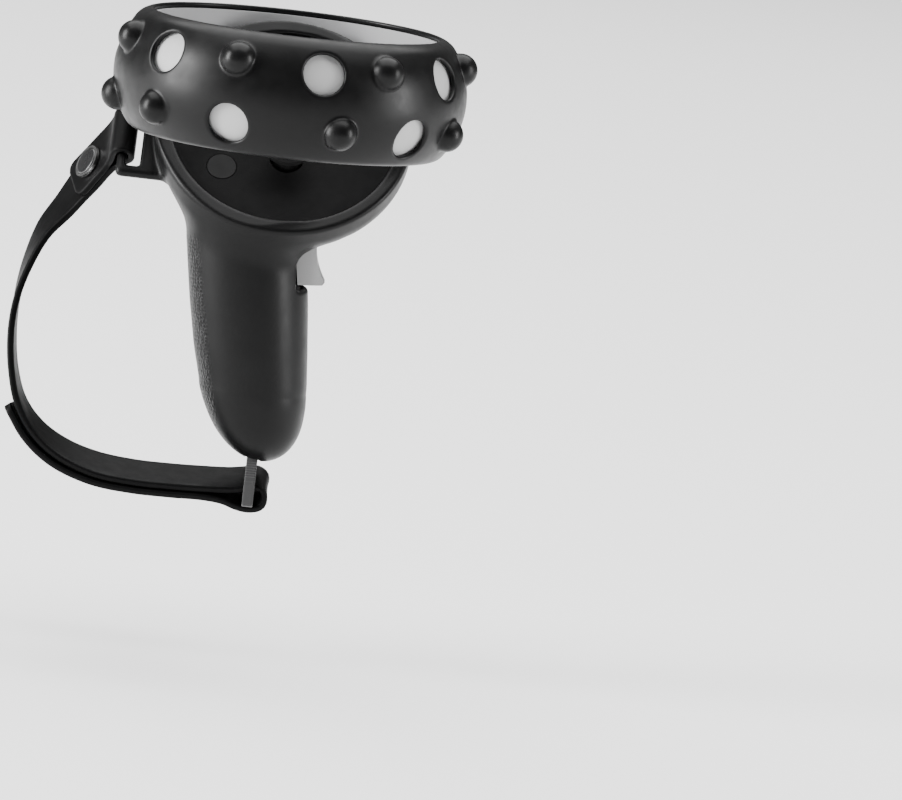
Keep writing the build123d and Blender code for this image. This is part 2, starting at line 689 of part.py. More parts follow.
# ---------------------------------------------------------------- export
def parts():
    shell = handle_shell()
    made = {
        "ring_outer_shell": ring_outer_shell(), "ring_inner_shell": ring_inner_shell(),
        "ring_led_strip": ring_led_strip(), "ring_leds": ring_leds(), "ring_cover": ring_cover(),
        "grip_cover": grip_cover(), "head_shell": head_shell(),
        "handle_shell_left": handle_shell_left(shell), "handle_shell_right": handle_shell_right(shell),
        "battery_door": battery_door(shell), "handle_screws": handle_screws(),
        "battery_cell": battery_cell(), "battery_tray": battery_tray(),
        "battery_contact_top": battery_contact_top(),
        "battery_contact_bottom": battery_contact_bottom(), "battery_spring": battery_spring(),
        "handle_board": handle_board(), "haptic_motor": haptic_motor(), "face_plate": face_plate(),
        "button_switches": button_switches(), "thumbstick_shaft": thumbstick_shaft(),
        "thumbstick_cap": thumbstick_cap(), "stick_yoke": stick_yoke(),
        "stick_carrier": stick_carrier(), "stick_module": stick_module(), "main_board": main_board(),
        "inner_frame": inner_frame(), "board_screws": board_screws(),
        "index_trigger": index_trigger(), "index_pin": index_pin(), "index_spring": index_spring(),
        "trigger_bracket": trigger_bracket(), "bracket_screws": bracket_screws(),
        "grip_trigger": grip_trigger(), "grip_pin": grip_pin(), "grip_bracket": grip_bracket(),
        "grip_spring": grip_spring(), "knuckle_strap": knuckle_strap(),
        "strap_snap_cap": strap_snap_cap(), "strap_snap_ring": strap_snap_ring(),
        "lanyard_band": lanyard_band(),
    }
    for name in BUTTONS:
        made[name] = button(name)
    return made


def to_origin(shape):
    home = Pos(*[-v for v in GRIP_CENTRE])
    if isinstance(shape, list):
        return Compound(children=[home * piece for piece in shape])
    return home * shape


os.makedirs("parts", exist_ok=True)
for name, shape in parts().items():
    export_step(to_origin(shape), f"parts/{name}.step")
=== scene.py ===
"""The look of a left-hand tracked motion controller: a round face under a tracking ring, an
upright handle, a silicone grip cover, a studded silicone ring cover and a knuckle strap.

The silicone covers are one-piece mouldings, so each is modelled as a rounded distance field and
turned into an even mesh. The strap and the lanyard band are flat sections swept along their lines.
"""
import json
import math

import bpy
import numpy as np
from mathutils import Matrix, Vector


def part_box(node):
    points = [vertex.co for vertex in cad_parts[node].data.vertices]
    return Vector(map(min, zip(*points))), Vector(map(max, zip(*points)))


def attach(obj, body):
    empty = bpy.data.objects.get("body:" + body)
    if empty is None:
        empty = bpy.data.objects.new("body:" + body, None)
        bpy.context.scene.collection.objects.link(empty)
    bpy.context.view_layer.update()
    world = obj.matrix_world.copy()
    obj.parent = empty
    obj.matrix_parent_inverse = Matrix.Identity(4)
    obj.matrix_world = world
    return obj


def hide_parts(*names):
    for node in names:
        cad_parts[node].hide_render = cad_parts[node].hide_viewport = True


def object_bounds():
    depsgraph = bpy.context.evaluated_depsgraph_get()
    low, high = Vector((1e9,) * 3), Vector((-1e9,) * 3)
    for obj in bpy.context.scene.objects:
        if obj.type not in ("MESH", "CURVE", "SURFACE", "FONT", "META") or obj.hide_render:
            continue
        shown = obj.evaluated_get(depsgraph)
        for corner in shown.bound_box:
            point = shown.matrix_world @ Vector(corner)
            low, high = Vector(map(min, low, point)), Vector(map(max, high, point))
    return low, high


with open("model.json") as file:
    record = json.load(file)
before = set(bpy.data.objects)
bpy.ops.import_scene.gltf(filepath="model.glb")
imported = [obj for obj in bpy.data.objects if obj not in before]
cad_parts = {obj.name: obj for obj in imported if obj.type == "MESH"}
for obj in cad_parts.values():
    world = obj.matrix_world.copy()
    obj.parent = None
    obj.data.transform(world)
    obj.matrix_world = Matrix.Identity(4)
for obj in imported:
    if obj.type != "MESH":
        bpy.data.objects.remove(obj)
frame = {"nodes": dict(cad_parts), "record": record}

CAD_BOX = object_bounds()
MM = 0.001

# ---------------------------------------------------------------- places, from the frame
# Lengths below are in millimetres, in ring coordinates: the origin is the ring's centre.
WALL_TOP = 16.0
_low, _high = (Vector(corner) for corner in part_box("ring_inner_shell"))
RING_CENTRE = Vector(((_low.x + _high.x) / 2, (_low.y + _high.y) / 2, _high.z - WALL_TOP * MM))

ARC_CENTRE = 25.4
ARC_RADIUS = 25.6
RING_TOP = 18.0
RING_BOTTOM = -17.0
RING_SKIN = 1.8
RIM_INNER = 41.2
HOLE_RADIUS = 5.8
BUMP_RADIUS = 4.9
BUMP_SINK = 0.7
BUMP_BASE = 0.6
RIM_FLOOR = 16.1
HOLLOW_BOTTOM = -15.4
RIM_TAPER = 0.06
HOLE_REACH = (-6, 8)
# Rows of marks: height, then angles from the user's side in degrees, positive towards +X
BUMP_ROWS = ((10.2, (-69.6, -18.2, 33.3, 84.7, 136.1, 187.6, 239)),
             (-7.8, (-82, -48.4, 18, 68.5, 125, 190, 235)))
HOLE_ROWS = ((8.8, (-46.2, 10.7, 62.1, 113.6, 165, 216.4, 267.9)),
             (-8.6, (-19.2, 46, 95, 157, 212, 257)))

FACE_TILT = math.radians(49)
FACE_CENTRE = np.array((0.0, 12.0, -14.3))
FACE_UP = np.array((0.0, math.cos(FACE_TILT), math.sin(FACE_TILT)))
FACE_OUT = np.array((0.0, -math.sin(FACE_TILT), math.cos(FACE_TILT)))
HEAD_RADIUS = 37.2
HEAD_DEPTH = 15.0
HEAD_CORNER = 11.0
HEAD_GAP = 0.25
LIP_HEIGHT = 1.2
LIP_INNER = 33.0
SKIN = 1.8
# Boxes in face coordinates: x, t up the face, and h out of it
WING = ((-47.6, -16.5, -11.0), (-28.0, 8.5, -8.0))
SLOT = ((-44.9, -13.3, -13.0), (-40.8, 6.5, -6.0))
BRACKET_WINDOW = ((-14.0, 3.0, -24.0), (14.0, 17.5, -10.0))
# Boxes in ring coordinates
TRIGGER_WINDOW = ((3.0, -0.7, -59.6), (30.0, 17.7, -42.4))
TRIGGER_PIN_ROOM = ((0.9, -1.8, -48.1), (7.3, 18.8, -42.6))
BAND_SLIT = ((-0.6, 5.2, -116.0), (3.2, 14.8, -106.7))

HANDLE_Y = 9.0
# The handle's sections: z, centre x, half width in x, half depth in y
HANDLE_SECTIONS = (
    (-20, -2.0, 31, 22.5), (-26, -3.5, 27, 21), (-36, -5.6, 21.6, 19.4), (-42, -7.0, 18.9, 18.3),
    (-50, -7.1, 17.7, 17.8), (-66, -4.8, 17.4, 17.4), (-80, -2.7, 16.7, 16.8), (-90, -0.9, 15.8, 15.9),
    (-98, -0.9, 15.2, 15.3))
TIP_CENTRE_Z = -91.0
TIP_LENGTH = 20.9
HANDLE_LEAN = math.radians(10.8)
TIP_SWAY = 1.1

# The strap's line: x, y, z and the width direction's x and z for a y of 1
STRAP_TAB = ((-59.6, 28.4, -39.4, -0.12, 0.85), (-55.0, 26.4, -32.9, 0.0, 1.1))
STRAP_ROUND_BAR = ((-50.6, -16.2), (-49.3, -12.2), (-48.9, -9.5), (-47.9, -7.3), (-46.2, -6.7),
                   (-44.4, -7.3), (-43.6, -9.3), (-43.8, -11.4), (-45.2, -12.9), (-48.6, -17.0))
STRAP_MIDDLE_T = -2.0
STRAP_REST = (
    (-53.2, 27.5, -33.2, 0.0, 1.1), (-57.8, 29.5, -39.7, -0.15, 0.7),
    (-61.9, 30.0, -46.4, -0.26, 0.27), (-66.9, 28.5, -53.9, -0.2, 0.12),
    (-70.4, 26.0, -63.3, -0.13, 0.0), (-72.5, 22.5, -73.9, -0.03, 0.0),
    (-72.7, 19.0, -83.9, 0.0, 0.0), (-71.2, 16.0, -93.8, 0.0, 0.0),
    (-67.9, 13.5, -103.0, 0.03, 0.01), (-62.5, 11.8, -109.9, 0.07, 0.07),
    (-54.8, 10.6, -115.1, 0.08, 0.16), (-44.5, 10.0, -118.5, 0.0, 0.24),
    (-33.2, 10.0, -119.7, 0.0, 0.24), (-22.0, 10.0, -119.7, 0.0, 0.24),
    (-11.8, 10.0, -119.3, 0.0, 0.24), (-4.5, 10.0, -118.8, 0.0, 0.24),
    (0.0, 10.0, -118.0, 0.0, 0.24), (3.0, 10.0, -117.4, 0.0, 0.24), (5.2, 10.0, -118.5, 0.0, 0.24),
    (5.8, 10.0, -120.6, 0.0, 0.24), (5.0, 10.0, -122.9, 0.0, 0.24), (2.2, 10.0, -123.9, 0.0, 0.24),
    (-1.5, 10.0, -123.6, 0.0, 0.24), (-6.0, 10.0, -122.3, 0.0, 0.24),
    (-11.9, 10.0, -121.8, 0.0, 0.24), (-22.0, 10.0, -122.1, 0.0, 0.24),
    (-33.4, 10.0, -122.1, 0.0, 0.24), (-45.0, 10.0, -120.9, 0.0, 0.24),
    (-55.9, 10.6, -117.5, 0.08, 0.16), (-64.4, 11.8, -111.9, 0.07, 0.07),
    (-70.9, 13.3, -104.1, 0.03, 0.01))
STRAP_WIDTH = 16.0
STRAP_THICKNESS = 2.0
STRAP_CORNER = 3.0
BAND_X = (-0.3, 2.9)
BAND_MIDDLE_Y = 10.0
BAND_LOW = -122.7
BAND_SLOPE = 0.24


def place(points):
    """Ring coordinates in millimetres to the frame's metres."""
    return np.asarray(points, float) * MM + np.array(RING_CENTRE)


# ---------------------------------------------------------------- distance fields
def smooth_max(a, b, k):
    """The larger of two fields, rounded over a width k where they cross."""
    h = np.maximum(k - np.abs(a - b), 0) / k
    return np.maximum(a, b) + h * h * k / 4


def smooth_min(a, b, k):
    return -smooth_max(-a, -b, k)


def slab(value, low, high):
    return np.maximum(low - value, value - high)


def box_field(coords, lows, highs, k):
    """A box with edges rounded over a width k."""
    field = slab(coords[0], lows[0], highs[0])
    for value, low, high in zip(coords[1:], lows[1:], highs[1:]):
        field = smooth_max(field, slab(value, low, high), k)
    return field


def face_coords(x, y, z):
    """x, t up the face, and h out of it."""
    dy, dz = y - FACE_CENTRE[1], z - FACE_CENTRE[2]
    return x, dy * FACE_UP[1] + dz * FACE_UP[2], dy * FACE_OUT[1] + dz * FACE_OUT[2]


def head_field(x, y, z, inset):
    """The head's disc with its large lower corner, without a top."""
    across, t, h = face_coords(x, y, z)
    rho = np.sqrt(across ** 2 + t ** 2)
    past_rim = rho - (HEAD_RADIUS - inset - HEAD_CORNER)
    past_floor = -h - (HEAD_DEPTH - inset) + HEAD_CORNER
    outside = np.sqrt(np.maximum(past_rim, 0) ** 2 + np.maximum(past_floor, 0) ** 2)
    return outside + np.minimum(np.maximum(past_rim, past_floor), 0) - HEAD_CORNER


def section_values(z):
    """The handle's centre x, half width and half depth at height z, smoothly."""
    table = np.array(HANDLE_SECTIONS[::-1])
    heights = np.linspace(-118, -18, 401)
    kernel = np.hanning(31)
    columns = []
    for column in (1, 2, 3):
        line = np.interp(heights, table[:, 0], table[:, column])
        padded = np.pad(line, len(kernel) // 2, mode="edge")
        columns.append(np.convolve(padded, kernel / kernel.sum(), mode="valid"))
    columns[0] += np.clip(TIP_CENTRE_Z - heights, 0, 30) * math.tan(HANDLE_LEAN) * TIP_SWAY
    return [np.interp(z, heights, column) for column in columns]


def handle_field(x, y, z, inset):
    """The handle with a half ellipsoid for its tip."""
    cx, wide, deep = section_values(z)
    wide, deep = wide - inset, deep - inset
    below = np.maximum(TIP_CENTRE_Z - z, 0) / (TIP_LENGTH - inset)
    reach = np.sqrt(((x - cx) / wide) ** 2 + ((y - HANDLE_Y) / deep) ** 2 + below ** 2)
    return (reach - 1) * np.minimum(wide, deep)


def band_radius_field(x, y, z):
    rho = np.sqrt(x ** 2 + y ** 2)
    return rho, np.sqrt(np.maximum(rho - ARC_CENTRE, 0) ** 2 + z ** 2) - ARC_RADIUS


def band_point(angle, z, sink):
    """A point on the band's side and the outward direction there."""
    turn, lift = math.radians(angle), math.asin(z / ARC_RADIUS)
    level = math.cos(lift)
    rho = ARC_CENTRE + (ARC_RADIUS - sink) * level
    outward = np.array((math.sin(turn) * level, -math.cos(turn) * level, math.sin(lift)))
    height = (ARC_RADIUS - sink) * math.sin(lift)
    return np.array((rho * math.sin(turn), -rho * math.cos(turn), height)), outward


def along_and_square(x, y, z, centre, outward):
    """Each place's distance along outward from a centre, and its squared distance from it."""
    along = sum((v - c) * n for v, c, n in zip((x, y, z), centre, outward))
    square = sum((v - c) ** 2 for v, c in zip((x, y, z), centre))
    return along, square


def ring_cover_field(x, y, z):
    """The studded ring cover, open towards the ring's middle, and cut clear of the head."""
    rho, skin = band_radius_field(x, y, z)
    solid = smooth_max(skin, z - RING_TOP, 3.0)
    solid = smooth_max(solid, RING_BOTTOM - z, 1.6)
    hollow = np.maximum(np.maximum(skin + RING_SKIN, z - RIM_FLOOR), HOLLOW_BOTTOM - z)
    solid = np.maximum(solid, -hollow)
    solid = smooth_max(solid, RIM_INNER + 0.1 - RIM_TAPER * (z - WALL_TOP) - rho, 0.8)
    above_lip = face_coords(x, y, z)[2] - LIP_HEIGHT - 0.3
    head = np.maximum(head_field(x, y, z, -HEAD_GAP), above_lip)
    solid = np.maximum(solid, -np.minimum(head, wing_field(x, y, z, HEAD_GAP)))
    for height, angles in HOLE_ROWS:
        for angle in angles:
            along, square = along_and_square(x, y, z, *band_point(angle, height, 0))
            side = np.sqrt(np.maximum(square - along ** 2, 0)) - HOLE_RADIUS
            solid = smooth_max(solid, -np.maximum(side, slab(along, *HOLE_REACH)), 1.1)
    for height, angles in BUMP_ROWS:
        for angle in angles:
            along, square = along_and_square(x, y, z, *band_point(angle, height, BUMP_SINK))
            ball = np.maximum(np.sqrt(square) - BUMP_RADIUS, -BUMP_BASE - along)
            solid = smooth_min(solid, ball, 0.7)
    return solid


def wing_field(x, y, z, grow=0.0):
    """The strap's wing, grown on every side but the one in the head."""
    lows = [value - grow for value in WING[0]]
    highs = (WING[1][0], WING[1][1] + grow, WING[1][2] + grow)
    return box_field(face_coords(x, y, z), lows, highs, 1.8)


def grip_cover_field(x, y, z):
    """The cover of head, handle and wing, with its mouth, windows and slits."""
    across, t, h = face_coords(x, y, z)
    head = smooth_max(head_field(x, y, z, 0), h - LIP_HEIGHT, 1.4)
    handle = np.maximum(handle_field(x, y, z, 0), h + 1.5)
    solid = smooth_min(head, handle, 7.0)
    solid = smooth_min(solid, wing_field(x, y, z), 2.2)
    solid = smooth_max(solid, -box_field((across, t, h), *SLOT, 1.2), 0.9)
    core = np.minimum(head_field(x, y, z, SKIN), handle_field(x, y, z, SKIN))
    solid = np.maximum(solid, -np.maximum(core, h + 0.55))
    mouth = np.maximum(np.sqrt(across ** 2 + t ** 2) - LIP_INNER, -4 - h)
    solid = smooth_max(solid, -mouth, 0.9)
    solid = smooth_max(solid, -box_field((x, y, z), *TRIGGER_WINDOW, 2.0), 1.2)
    solid = np.maximum(solid, -box_field((x, y, z), *TRIGGER_PIN_ROOM, 0.5))
    solid = smooth_max(solid, -box_field((across, t, h), *BRACKET_WINDOW, 1.5), 1.0)
    return np.maximum(solid, -box_field((x, y, z), *BAND_SLIT, 0.4))


# ---------------------------------------------------------------- fields to meshes
RELAX_ROUNDS = 4


def neighbour_cells(index, axis):
    """The four cells round each grid edge along axis, in turning order."""
    a, b = [other for other in range(3) if other != axis]
    cut = [slice(1, -1)] * 3
    cut[axis] = slice(None)
    corners = []
    for da, db in ((-1, -1), (0, -1), (0, 0), (-1, 0)):
        part = [slice(None)] * 3
        part[a] = slice(1 + da, index.shape[a] + da)
        part[b] = slice(1 + db, index.shape[b] + db)
        corners.append(index[tuple(part)])
    return corners


def cells_on_surface(inside):
    """Numbers the cells whose eight corners are not all inside or all outside; -1 for the rest."""
    count = np.zeros([n - 1 for n in inside.shape], np.int8)
    for corner in np.ndindex(2, 2, 2):
        count += inside[tuple(slice(c, c + n) for c, n in zip(corner, count.shape))]
    mixed = (count > 0) & (count < 8)
    index = np.full(count.shape, -1)
    index[mixed] = np.arange(mixed.sum())
    return index, np.argwhere(mixed)


def surface_quads(inside, index):
    """A quad across each grid edge that leaves or enters the solid."""
    quads = []
    for axis in range(3):
        corners = neighbour_cells(index, axis)
        span = [slice(1, -1)] * 3
        span[axis] = slice(0, -1)
        ahead = [slice(1, -1)] * 3
        ahead[axis] = slice(1, None)
        first, second = inside[tuple(span)], inside[tuple(ahead)]
        for leaving, order in ((True, (0, 1, 2, 3)), (False, (3, 2, 1, 0))):
            crossed = (first & ~second) if leaving else (second & ~first)
            if axis == 1:
                order = order[::-1]
            quads.append(np.array([corners[o][crossed] for o in order]).T)
    return np.vstack(quads)


def field_mesh(field, low, high, step):
    """An even quad mesh of the surface where the field is zero: a vertex in each cell that the
    surface passes through, relaxed and then pulled back on to the surface."""
    axes = [np.arange(a, b + step, step) for a, b in zip(low, high)]
    x, y, z = np.meshgrid(*axes, indexing="ij", sparse=True)
    inside = (field(x, y, z) < 0)
    index, cells = cells_on_surface(inside)
    quads = surface_quads(inside, index)
    verts = np.array([axes[i][cells[:, i]] + step / 2 for i in range(3)]).T
    starts, ends = quads.ravel(), np.roll(quads, -1, axis=1).ravel()
    weight = np.bincount(starts, minlength=len(verts)) + np.bincount(ends, minlength=len(verts))
    for _ in range(RELAX_ROUNDS):
        verts = pull_to_surface(field, verts, step, 2)
        total = np.array([np.bincount(starts, verts[ends, i], len(verts)) +
                          np.bincount(ends, verts[starts, i], len(verts)) for i in range(3)]).T
        verts = total / weight[:, None]
    return pull_to_surface(field, verts, step, 4), quads


def pull_to_surface(field, verts, step, rounds):
    """Moves each vertex along the field's slope towards where the field is zero."""
    eps = 0.02
    for _ in range(rounds):
        x, y, z = verts.T
        here = field(x, y, z)
        slope = np.array([field(x + eps, y, z) - here, field(x, y + eps, z) - here,
                          field(x, y, z + eps) - here]) / eps
        size = np.maximum((slope ** 2).sum(0), 0.05)
        move = np.clip(-here / size, -step, step) * slope
        verts = verts + np.clip(move, -step, step).T
    return verts


def new_piece(name, verts, faces, material):
    """A smooth piece of the controller's body, made from points in metres."""
    mesh = bpy.data.meshes.new(name)
    mesh.from_pydata(np.asarray(verts).tolist(), [], [list(map(int, f)) for f in faces])
    mesh.validate()
    mesh.update()
    mesh.polygons.foreach_set("use_smooth", [True] * len(mesh.polygons))
    piece = bpy.data.objects.new(name, mesh)
    bpy.context.scene.collection.objects.link(piece)
    mesh.materials.append(material)
    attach(piece, "controller")
    return piece


# ---------------------------------------------------------------- sweeps
def smooth_line(points, count):
    """Points evenly spaced along a centripetal spline through the given points."""
    points = np.asarray(points, float)
    ends = np.vstack([2 * points[0] - points[1], points, 2 * points[-1] - points[-2]])
    out = []
    for i in range(1, len(ends) - 2):
        p = ends[i - 1:i + 3]
        knots = np.concatenate([[0], np.cumsum(np.linalg.norm(np.diff(p, axis=0), axis=1) ** 0.5)])
        for t in np.linspace(knots[1], knots[2], 12, endpoint=i == len(ends) - 3):
            a = [(knots[j + 1] - t) / (knots[j + 1] - knots[j]) * p[j] +
                 (t - knots[j]) / (knots[j + 1] - knots[j]) * p[j + 1] for j in range(3)]
            b = [(knots[j + 2] - t) / (knots[j + 2] - knots[j]) * a[j] +
                 (t - knots[j]) / (knots[j + 2] - knots[j]) * a[j + 1] for j in range(2)]
            share = (t - knots[1]) / (knots[2] - knots[1])
            out.append((1 - share) * b[0] + share * b[1])
    out = np.array(out)
    length = np.concatenate([[0], np.cumsum(np.linalg.norm(np.diff(out, axis=0), axis=1))])
    even = np.linspace(0, length[-1], count)
    return np.array([np.interp(even, length, out[:, i]) for i in range(out.shape[1])]).T


def flat_section(width, thick, edge):
    """A closed outline of a flat band's section with rounded edges: across, out."""
    corner_steps, flat_steps = 4, 8
    half_w, half_t = width / 2, thick / 2
    outline = []
    for sx, sy, start in ((1, 1, 0), (-1, 1, 90), (-1, -1, 180), (1, -1, 270)):
        for i in range(corner_steps + 1):
            turn = math.radians(start + 90 * i / corner_steps)
            outline.append((sx * (half_w - edge) + edge * math.cos(turn),
                            sy * (half_t - edge) + edge * math.sin(turn)))
        if sx * sy > 0:
            reach = half_w - edge
            for i in range(1, flat_steps):
                outline.append((sy * reach * (1 - 2 * i / flat_steps), sy * half_t))
    return outline


def end_share(distance):
    """How much of the width a band with rounded corners keeps at a distance from its end."""
    short = np.maximum(STRAP_CORNER - distance, 0)
    cut = STRAP_CORNER - np.sqrt(np.maximum(STRAP_CORNER ** 2 - short ** 2, 0))
    return 1 - 2 * cut / STRAP_WIDTH


def sweep_flat(points, across, section, closed=False, widths=None):
    """Sweeps a flat section along points; across is the direction of its width at each point."""
    points, across = np.asarray(points, float), np.asarray(across, float)
    if closed:
        ahead = np.roll(points, -1, axis=0) - np.roll(points, 1, axis=0)
    else:
        ahead = np.gradient(points, axis=0)
    ahead /= np.linalg.norm(ahead, axis=1)[:, None]
    across = across - (across * ahead).sum(1)[:, None] * ahead
    across /= np.linalg.norm(across, axis=1)[:, None]
    out = np.cross(across, ahead)
    n, m = len(points), len(section)
    widths = np.ones(n) if widths is None else widths
    verts = np.array([[p + a * u * w + o * v for u, v in section]
                      for p, a, o, w in zip(points, across, out, widths)])
    faces = []
    for i in range(n if closed else n - 1):
        j = (i + 1) % n
        faces += [(i * m + k, i * m + (k + 1) % m, j * m + (k + 1) % m, j * m + k) for k in range(m)]
    if not closed:
        faces += [list(range(m))[::-1], list(range((n - 1) * m, n * m))]
    return verts.reshape(-1, 3), faces


# ---------------------------------------------------------------- materials
def material(name, colour, roughness, **inputs):
    """A principled material; returns it with its nodes, links and shader."""
    made = bpy.data.materials.new(name)
    made.use_nodes = True
    nodes, links = made.node_tree.nodes, made.node_tree.links
    shader = nodes["Principled BSDF"]
    shader.inputs["Base Color"].default_value = (*colour, 1)
    shader.inputs["Roughness"].default_value = roughness
    for key, value in inputs.items():
        shader.inputs[key.replace("_", " ")].default_value = value
    return made, nodes, links, shader


def add_noise(nodes, links, scale, detail):
    coords = nodes.new("ShaderNodeTexCoord")
    noise = nodes.new("ShaderNodeTexNoise")
    noise.inputs["Scale"].default_value = scale
    noise.inputs["Detail"].default_value = detail
    noise.inputs["Roughness"].default_value = 0.55
    links.new(coords.outputs["Object"], noise.inputs["Vector"])
    return noise.outputs["Fac"]


def add_range(nodes, links, value, low, high, from_low=0.3, from_high=0.7):
    ramp = nodes.new("ShaderNodeMapRange")
    limits = {"From Min": from_low, "From Max": from_high, "To Min": low, "To Max": high}
    for key, number in limits.items():
        ramp.inputs[key].default_value = number
    links.new(value, ramp.inputs["Value"])
    return ramp.outputs["Result"]


def add_tint(nodes, links, value, dark, light):
    ramp = nodes.new("ShaderNodeValToRGB")
    ramp.color_ramp.elements[0].position = 0.3
    ramp.color_ramp.elements[1].position = 0.7
    ramp.color_ramp.elements[0].color = (*dark, 1)
    ramp.color_ramp.elements[1].color = (*light, 1)
    links.new(value, ramp.inputs["Fac"])
    return ramp.outputs["Color"]


def add_bump(nodes, links, shader, height, distance, under=None):
    bump = nodes.new("ShaderNodeBump")
    bump.inputs["Distance"].default_value = distance
    bump.inputs["Strength"].default_value = 1.0
    links.new(height, bump.inputs["Height"])
    if under is not None:
        links.new(under, bump.inputs["Normal"])
    links.new(bump.outputs["Normal"], shader.inputs["Normal"])
    return bump.outputs["Normal"]


def moulded(name, colour, roughness, spread=0.12, grain=2600, depth=0.02, **inputs):
    """A moulded plastic or rubber: a fine grain, faint mottling and uneven gloss."""
    made, nodes, links, shader = material(name, colour, roughness, **inputs)
    mottle = add_noise(nodes, links, 55, 3)
    dark = [c * (1 - spread) for c in colour]
    light = [c * (1 + spread) for c in colour]
    links.new(add_tint(nodes, links, mottle, dark, light), shader.inputs["Base Color"])
    gloss = add_noise(nodes, links, 240, 5)
    links.new(add_range(nodes, links, gloss, roughness - 0.05, roughness + 0.06),
              shader.inputs["Roughness"])
    add_bump(nodes, links, shader, add_noise(nodes, links, grain, 2), depth * MM)
    return made


# The stippled palm side lies where x + PALM_LEAN * z is below these two values, in millimetres
PALM_LEAN = 0.205
PALM_EDGE = (-32.0, -30.4)


def grip_silicone(name, colour, roughness):
    """Satin silicone whose palm side carries a stipple of small round dots."""
    made, nodes, links, shader = material(name, colour, roughness, Specular_IOR_Level=0.14)
    mottle = add_noise(nodes, links, 45, 3)
    links.new(add_tint(nodes, links, mottle, [c * 0.85 for c in colour], [c * 1.15 for c in colour]),
              shader.inputs["Base Color"])
    gloss = add_noise(nodes, links, 200, 5)
    links.new(add_range(nodes, links, gloss, roughness - 0.04, roughness + 0.05),
              shader.inputs["Roughness"])
    fine = add_bump(nodes, links, shader, add_noise(nodes, links, 2400, 2), 0.015 * MM)
    coords = nodes.new("ShaderNodeTexCoord")
    dots = nodes.new("ShaderNodeTexVoronoi")
    dots.inputs["Scale"].default_value = 900
    dots.inputs["Randomness"].default_value = 0.45
    links.new(coords.outputs["Object"], dots.inputs["Vector"])
    height = add_range(nodes, links, dots.outputs["Distance"], 1, 0, 0.1, 0.6)
    split = nodes.new("ShaderNodeSeparateXYZ")
    links.new(coords.outputs["Object"], split.inputs["Vector"])
    leaning = nodes.new("ShaderNodeMath")
    leaning.operation = "MULTIPLY_ADD"
    leaning.inputs[1].default_value = PALM_LEAN
    links.new(split.outputs["Z"], leaning.inputs[0])
    links.new(split.outputs["X"], leaning.inputs[2])
    middle = RING_CENTRE.x + PALM_LEAN * RING_CENTRE.z
    x_mask = add_range(nodes, links, leaning.outputs["Value"], 1, 0,
                       middle + PALM_EDGE[0] * MM, middle + PALM_EDGE[1] * MM)
    z_mask = add_range(nodes, links, split.outputs["Z"], 1, 0,
                       RING_CENTRE.z - 49.5 * MM, RING_CENTRE.z - 46.0 * MM)
    mask = x_mask
    for other in (z_mask, height):
        both = nodes.new("ShaderNodeMath")
        both.operation = "MULTIPLY"
        links.new(mask, both.inputs[0])
        links.new(other, both.inputs[1])
        mask = both.outputs["Value"]
    add_bump(nodes, links, shader, mask, 0.25 * MM, fine)
    return made


def metal(name, colour, roughness):
    """A bare metal with uneven gloss and a very fine grain."""
    made, nodes, links, shader = material(name, colour, roughness, Metallic=1.0)
    wear = add_noise(nodes, links, 420, 5)
    links.new(add_range(nodes, links, wear, roughness * 0.7, roughness * 1.5),
              shader.inputs["Roughness"])
    links.new(add_tint(nodes, links, wear, [c * 0.9 for c in colour], colour),
              shader.inputs["Base Color"])
    add_bump(nodes, links, shader, add_noise(nodes, links, 3000, 2), 0.006 * MM)
    return made


def webbing(name, colour):
    """A narrow woven band: a basket weave at thread scale, with painted shade: its colour is darker
    where the weave is low, between the threads.
    """
    made, nodes, links, shader = material(name, colour, 0.75, Sheen_Weight=0.25)
    coords = nodes.new("ShaderNodeTexCoord")
    waves = []
    for axis in ("Y", "Z"):
        wave = nodes.new("ShaderNodeTexWave")
        wave.bands_direction = axis
        wave.inputs["Scale"].default_value = 520
        wave.inputs["Distortion"].default_value = 0.6
        wave.inputs["Detail Scale"].default_value = 3
        links.new(coords.outputs["Object"], wave.inputs["Vector"])
        waves.append(wave.outputs["Fac"])
    weave = nodes.new("ShaderNodeMath")
    weave.operation = "MULTIPLY"
    links.new(waves[0], weave.inputs[0])
    links.new(waves[1], weave.inputs[1])
    value = weave.outputs["Value"]
    # painted shade: the weave that sets the bump also darkens the colour where the weave is low, between
    # the threads
    links.new(add_tint(nodes, links, value, [c * 0.55 for c in colour], colour),
              shader.inputs["Base Color"])
    add_bump(nodes, links, shader, value, 0.12 * MM)
    return made


SILICONE = (0.0030, 0.0030, 0.0031)
STRAP_BLACK = (0.0015, 0.0015, 0.0016)
grip_rubber = grip_silicone("grip_silicone", SILICONE, 0.38)
ring_rubber = moulded("ring_silicone", SILICONE, 0.36, grain=2400, depth=0.01,
                       Specular_IOR_Level=0.16)
strap_rubber = moulded("strap_elastomer", STRAP_BLACK, 0.48, grain=1500, depth=0.02,
                        Specular_IOR_Level=0.08)
shell_white = moulded("shell_light_grey", (0.38, 0.38, 0.38), 0.50, spread=0.03, depth=0.03)
wall_white = moulded("wall_light_grey", (0.36, 0.36, 0.365), 0.55, spread=0.03, depth=0.03)
plate_black = moulded("face_black", (0.0026, 0.0026, 0.0027), 0.62, grain=1900, depth=0.03,
                      Specular_IOR_Level=0.07)
button_black = moulded("button_black", (0.003, 0.003, 0.0031), 0.5, grain=1900, depth=0.02,
                        Specular_IOR_Level=0.12)
stick_rubber = moulded("stick_rubber", (0.003, 0.003, 0.0031), 0.68, grain=1400, depth=0.05,
                        Specular_IOR_Level=0.14)
inner_black = moulded("inner_black", (0.03, 0.03, 0.031), 0.55)
trigger_grey = moulded("trigger_grey", (0.15, 0.15, 0.15), 0.42, spread=0.03, depth=0.02)
trigger_black = moulded("trigger_black", (0.016, 0.016, 0.0165), 0.4)
board_green = moulded("board_green", (0.012, 0.075, 0.035), 0.35)
flex_amber = moulded("flex_amber", (0.34, 0.15, 0.03), 0.35)
